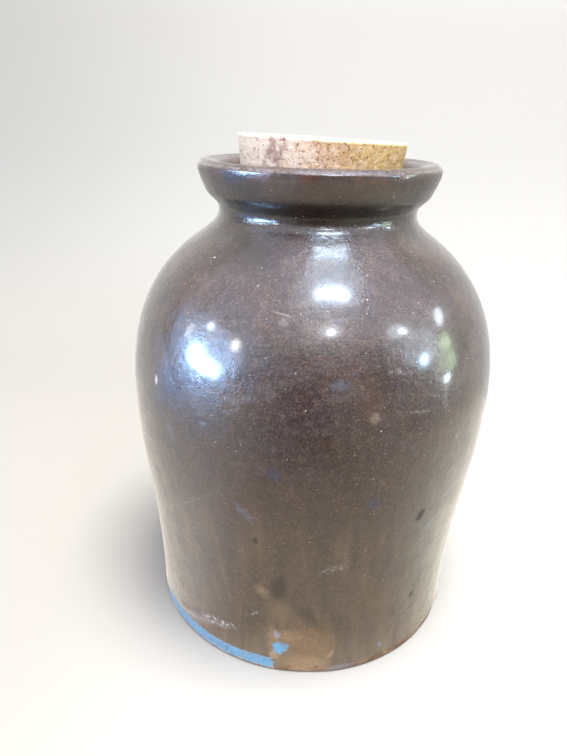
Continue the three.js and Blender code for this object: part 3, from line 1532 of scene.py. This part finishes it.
@dataclass(frozen=True)
class Lamp:
    """A soft panel that shines at the jar. One that is high up hangs level and shines down.

    Attributes:
        name: What it is.
        azimuth: Degrees to the right of the front, as the camera sees it.
        elevation: Degrees above the jar's shoulder.
        wide: Its width, in millimetres.
        tall: Its height, in millimetres.
        glow: How bright its face is, where 1 is a white surface in full light.
        colour: The colour of its light.
        distance: How far it is from the jar's axis, in millimetres.
        turn: Degrees that it is turned in its own plane, its right end upwards or backwards.
        round: Whether it is an oval instead of a rectangle.
        use: What it is for.
    """

    name: str
    azimuth: float
    elevation: float
    wide: float
    tall: float
    glow: float
    colour: tuple[float, float, float] = (1.0, 1.0, 1.0)
    distance: float = 950.0
    turn: float = 0.0
    round: bool = False
    use: Use = Use.MIRRORED


@dataclass
class Studio:
    """The pale sweep, the lamps and the room's soft light. Sizes in millimetres."""

    middle: float = 140.0
    floor_half: float = 2400.0
    sweep_start: float = 190.0
    sweep_radius: float = 320.0
    sweep_steps: int = 24
    wall_top: float = 1500.0
    mirrored_half: float = 1600.0
    mirrored_lift: float = 0.3
    panel_depth: float = 700.0
    panel_half: float = 320.0
    panel_foot: float = 1.0
    panel_top: float = 640.0
    hung_above: float = 60.0
    room_glow: float = 1.35
    finish: SweepFinish = SweepFinish()

    def lamps(self) -> list[Lamp]:
        """Lists the panels: windows, ceiling strips and lamps that the glaze mirrors, a key and fills.

        Returns:
            The lamps.
        """
        sky = (0.36, 0.6, 1.0)
        cool = (0.6, 0.79, 1.0)
        pale = (0.78, 0.89, 1.0)
        leaf = (0.74, 1.0, 0.62)
        warm = (1.0, 0.98, 0.94)
        light = Use.LIGHTING
        return [
            Lamp("left_window", -64.8, 5.2, 370, 165, 42.0, sky),
            Lamp("left_window_high", -70.0, 8.0, 180, 200, 34.0, sky, 940.0, 20, round=True),
            Lamp("left_window_low", -59.0, 5.0, 230, 110, 34.0, sky, 940.0, -15, round=True),
            Lamp("left_glow", -60, 15, 640, 360, 3.2, sky, 1000.0, round=True),
            Lamp("left_haze", -68, 14, 1150, 640, 1.1, sky, 1050.0, round=True),
            Lamp("left_pane", -69.2, 25.7, 85, 75, 34.0, pale, round=True),
            Lamp("left_far_pane", -81, 15.5, 70, 170, 13.0, pale, round=True),
            Lamp("left_lamp", -47.7, 23.0, 85, 130, 24.0, warm, round=True),
            Lamp("ceiling_near", 45.4, 78.6, 290, 44, 24.0, cool, turn=10),
            Lamp("ceiling_far", 23.7, 65.2, 270, 80, 40.0, cool, turn=9.7),
            Lamp("ceiling_far_glow", 23.0, 65.4, 360, 150, 6.0, cool, 970.0, 9.7, round=True),
            Lamp("ceiling_haze", 25, 67.5, 600, 400, 1.8, cool, 1000.0, turn=10, round=True),
            Lamp("hall_lamp", 14.5, 42.7, 80, 80, 45.0, pale, round=True),
            Lamp("hall_haze", 13.5, 43.8, 240, 170, 6.0, pale, 1000.0, round=True),
            Lamp("right_lamp", 64.5, 30.5, 75, 65, 45.0, pale, round=True),
            Lamp("right_lamp_haze", 60.5, 32.5, 240, 170, 7.0, pale, 1000.0, round=True),
            Lamp("right_high_pane", 93, 24.0, 100, 160, 18.0, pale, turn=-45, round=True),
            Lamp("right_sky", 69.8, 11.5, 110, 100, 36.0, (0.5, 0.75, 1.0), turn=-35, round=True),
            Lamp("right_haze", 71, 17, 420, 380, 3.0, pale, 1000.0, turn=-20, round=True),
            Lamp("right_leaves", 86.0, 6.5, 170, 260, 3.6, leaf, turn=-30),
            Lamp("right_leaves_high", 88.0, 12.0, 170, 130, 4.5, leaf, 940.0, 15, round=True),
            Lamp("right_leaves_low", 90.0, 2.0, 130, 120, 3.6, leaf, 940.0, -50, round=True),
            Lamp("right_sill", 83.6, -3.8, 90, 70, 26.0, pale, round=True),
            Lamp("key", 45, 77, 520, 520, 45.3, warm, 1300.0, use=light),
            Lamp("front_fill", 0, 35, 1200, 1200, 1.3, warm, 1300.0, use=light),
            Lamp("left_fill", -70, 6, 700, 260, 3.4, warm, 1300.0, use=light),
        ]

    def build(self) -> None:
        """Makes the sweep, what the glaze mirrors of it, the lamps and the room's light."""
        self._sweep()
        self._mirrored()
        for lamp in self.lamps():
            self._lamp(lamp)
        self._room()
        bpy.context.scene.view_settings.view_transform = "Standard"

    def _room(self) -> None:
        """Light from all round, brighter towards the ceiling."""
        f = self.finish
        world = bpy.data.worlds.new("room")
        sheet = NodeSheet(world)
        way = sheet.node("TexCoord").outputs["Generated"]
        rise = sheet.split(way)[2]
        stops = [(0.0, f.sky_low), (0.64, f.sky_low), (0.84, f.sky_middle), (0.95, f.sky_high)]
        shade = sheet.node("ValToRGB", {"stops": stops}, {0: rise * 0.5 + 0.5}).outputs[0]
        glow = sheet.node("Background", {}, {"Color": shade, "Strength": self.room_glow})
        sheet.node("OutputWorld", {}, {"Surface": glow.outputs[0]})
        bpy.context.scene.world = world

    def _curve(self) -> list[tuple[float, float]]:
        """The sweep's section behind the jar, from the floor to the wall's top.

        Returns:
            Its depth and height at each point.
        """
        turn = np.linspace(0, np.pi / 2, self.sweep_steps + 1)
        radius = self.sweep_radius
        rise = [
            (self.sweep_start + radius * math.sin(t), radius * (1 - math.cos(t))) for t in turn
        ]
        return [*rise, (rise[-1][0], self.wall_top)]

    def _sweep(self) -> None:
        """The floor that curves up into a wall behind. The glaze doesn't mirror it."""
        section = [(-self.floor_half, 0.0), *self._curve()]
        floor = self._strip("pale_sweep", section, self.floor_half)
        floor.data.materials.append(self._paper())
        floor.visible_glossy = False

    def _paper(self) -> bpy.types.Material:
        """Dull paper, with painted light paler up the wall, painted shade on the wall's left and a
        painted shadow on the floor left of the jar.

        Returns:
            The material.
        """
        sheet = NodeSheet(bpy.data.materials.new("pale_paper"))
        f = self.finish
        side, _, rise = sheet.split(sheet.place())
        on_wall = rise.step(0, 90)
        coat = Layers(sheet, f.floor)
        coat.lay(on_wall, f.wall)
        # Painted light: the paper is made paler up the wall to make up for the light falling off
        # there.
        coat.lay(rise.step(150, 520), f.wall_top)
        # Painted shade: the wall is darker towards the left.
        coat.lay(side.step(0, -400) * on_wall * 0.25, f.wall_left_shade)
        # Painted shadow: the floor left of the jar is darkened and warmed in colour.
        coat.lay(side.step(-10, -140) * rise.step(90, 0) * 0.28, f.floor_left_shadow)
        return sheet.finish({"Base Color": coat.colour, "Roughness": f.roughness})

    def _mirrored(self) -> None:
        """What the glaze mirrors: the lit table, the wall behind and a dim panel in front."""
        half = self.floor_half
        lift = self.mirrored_lift
        ground = self._strip("mirrored_ground", [(-half, lift), (self.sweep_start, lift)], half)
        ground.data.materials.append(self._ground())
        section = [(y, z + lift) for y, z in self._curve()]
        wall = self._strip("mirrored_wall", section, self.mirrored_half)
        sheet = NodeSheet(bpy.data.materials.new("mirrored_wall"))
        wall.data.materials.append(self._shine(sheet, self.finish.backdrop))
        depth = -self.panel_depth
        section = [(depth, self.panel_foot), (depth, self.panel_top)]
        panel = self._strip("dim_panel", section, self.panel_half)
        panel.data.materials.append(self._panel())
        for piece in (ground, wall, panel):
            piece.visible_camera = False
            piece.visible_diffuse = False
            piece.visible_shadow = False
            piece.visible_transmission = False

    def _ground(self) -> bpy.types.Material:
        """The mirrored ground: dim straight in front, brighter to both sides, bluish far left.

        Returns:
            The material.
        """
        sheet = NodeSheet(bpy.data.materials.new("mirrored_ground"))
        f = self.finish
        place = sheet.place()
        side, back, _ = sheet.split(place)
        angle = sheet.math("ARCTAN2", side, -back) * math.degrees(1)
        stops = [
            (-90, 1.0, 0.95, 0.85), (-55, 1.15, 1.06, 0.96), (-45, 1.05, 0.97, 0.87),
            (-35, 0.9, 0.82, 0.72), (-25, 0.66, 0.6, 0.52), (-14, 0.36, 0.32, 0.28),
            (-4, 0.14, 0.11, 0.09), (6, 0.14, 0.11, 0.09), (17, 0.34, 0.31, 0.25),
            (28, 0.54, 0.5, 0.41), (38, 0.72, 0.67, 0.54), (50, 0.84, 0.79, 0.65),
            (62, 0.95, 0.9, 0.75), (76, 1.15, 1.1, 0.95), (90, 1.25, 1.2, 1.05),
        ]
        ramp = [((a + 90) / 180, (r / 2, g / 2, b / 2, 1.0)) for a, r, g, b in stops]
        half_lit = sheet.node("ValToRGB", {"stops": ramp}, {0: angle / 180 + 0.5}).outputs[0]
        lit = sheet.scaled(half_lit, 2.0)
        away = sheet.length(place)
        near = sheet.mix(away.step(420, 100), f.dim, f.near_table)
        coat = Layers(sheet, sheet.vector("MAXIMUM", lit, near))
        coat.lay(away.step(270, 420) * angle.step(32, 60) * 0.38, f.dim)
        left = angle.step(-50, -68) * angle.step(-106, -90)
        coat.lay(away.step(250, 620) * left, f.far_table)
        return self._shine(sheet, coat.colour)

    def _panel(self) -> bpy.types.Material:
        """A dim panel in front, which fades out to the sides and upwards.

        Returns:
            The material.
        """
        sheet = NodeSheet(bpy.data.materials.new("dim_panel"))
        side, _, rise = sheet.split(sheet.place())
        cover = (side - 10).size().step(290, 60) * rise.step(620, 230) * 0.9
        return self._shine(sheet, self.finish.dim, cover)

    @staticmethod
    def _shine(sheet: NodeSheet, colour: Any, alpha: Number = 1.0) -> bpy.types.Material:
        """Gives the sheet's material a steady glow of that colour.

        Args:
            sheet: The material's sheet.
            colour: The glow's colour.
            alpha: How solid it is, from 0 to 1.

        Returns:
            The material.
        """
        return sheet.finish(
            {
                "Base Color": (0.0, 0.0, 0.0, 1.0),
                "Specular IOR Level": 0.0,
                "Emission Color": colour,
                "Emission Strength": 1.0,
                "Alpha": alpha,
            }
        )

    @staticmethod
    def _strip(
        name: str, section: Sequence[tuple[float, float]], half: float
    ) -> bpy.types.Object:
        """Makes a piece of the stage that runs straight across. It isn't part of the object.

        Args:
            name: Its name.
            section: Its depth and height along the section.
            half: Half its width.

        Returns:
            The piece, without a material.
        """
        vertices = [(side * half * MM, y * MM, z * MM) for y, z in section for side in (-1, 1)]
        faces = [(2 * i, 2 * i + 1, 2 * i + 3, 2 * i + 2) for i in range(len(section) - 1)]
        mesh = bpy.data.meshes.new(name)
        mesh.from_pydata(vertices, [], faces)
        mesh.shade_smooth()
        made = put(name, mesh)
        return made

    def _lamp(self, lamp: Lamp) -> None:
        """Makes one panel, facing the jar.

        Args:
            lamp: The panel.
        """
        data = bpy.data.lights.new(lamp.name, "AREA")
        data.shape = "ELLIPSE" if lamp.round else "RECTANGLE"
        data.size = lamp.wide * MM
        data.size_y = lamp.tall * MM
        area = data.size * data.size_y * (math.pi / 4 if lamp.round else 1.0)
        data.energy = lamp.glow * math.pi * area
        data.color = lamp.colour
        made = put(lamp.name, data)
        around = math.radians(lamp.azimuth)
        up = math.radians(lamp.elevation)
        away = Vector(
            (math.sin(around) * math.cos(up), -math.cos(around) * math.cos(up), math.sin(up))
        )
        made.location = Vector((0, 0, self.middle * MM)) + away * lamp.distance * MM
        facing = Quaternion()
        if lamp.elevation < self.hung_above:
            facing = away.to_track_quat("Z", "Y")
        made.rotation_mode = "QUATERNION"
        made.rotation_quaternion = facing @ Quaternion((0, 0, 1), math.radians(lamp.turn))
        made.visible_glossy = lamp.use is Use.MIRRORED
        made.visible_diffuse = lamp.use is Use.LIGHTING
        made.visible_camera = False


@dataclass(frozen=True)
class Camera:
    """The camera at the photograph's place. Lengths in millimetres, angles in radians."""

    distance: float = 246.2
    height: float = 215.0
    yaw: float = -0.0486
    pitch: float = 0.4205
    roll: float = 0.0259
    focal_pixels: float = 585.0
    long_side_pixels: float = 756.0
    sensor: float = 36.0
    nearest: float = 10.0

    def build(self) -> None:
        """Makes the camera and gives it to the scene."""
        data = bpy.data.cameras.new("camera")
        data.sensor_width = self.sensor
        data.lens = self.focal_pixels / self.long_side_pixels * self.sensor
        data.clip_start = self.nearest * MM
        made = put("camera", data)
        level = Vector((math.cos(self.yaw), -math.sin(self.yaw), 0))
        ahead = Vector(
            (
                math.sin(self.yaw) * math.cos(self.pitch),
                math.cos(self.yaw) * math.cos(self.pitch),
                -math.sin(self.pitch),
            )
        )
        upright = level.cross(ahead)
        right = level * math.cos(self.roll) + upright * math.sin(self.roll)
        top = upright * math.cos(self.roll) - level * math.sin(self.roll)
        turn = Matrix((right, top, -ahead)).transposed().to_4x4()
        place = Matrix.Translation((0, -self.distance * MM, self.height * MM))
        made.matrix_world = place @ turn
        bpy.context.scene.camera = made


def main() -> None:
    """Builds the pieces, dresses them and sets the stage."""
    logging.basicConfig(level=logging.INFO, format="%(name)s: %(message)s")
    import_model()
    for maker in (Jar(), Stopper()):
        piece = maker.build()
        maker.dress(piece)
        LOG.info("%s: %d faces", piece.name, len(piece.data.polygons))
    Studio().build()
    Camera().build()


if __name__ == "__main__":
    main()
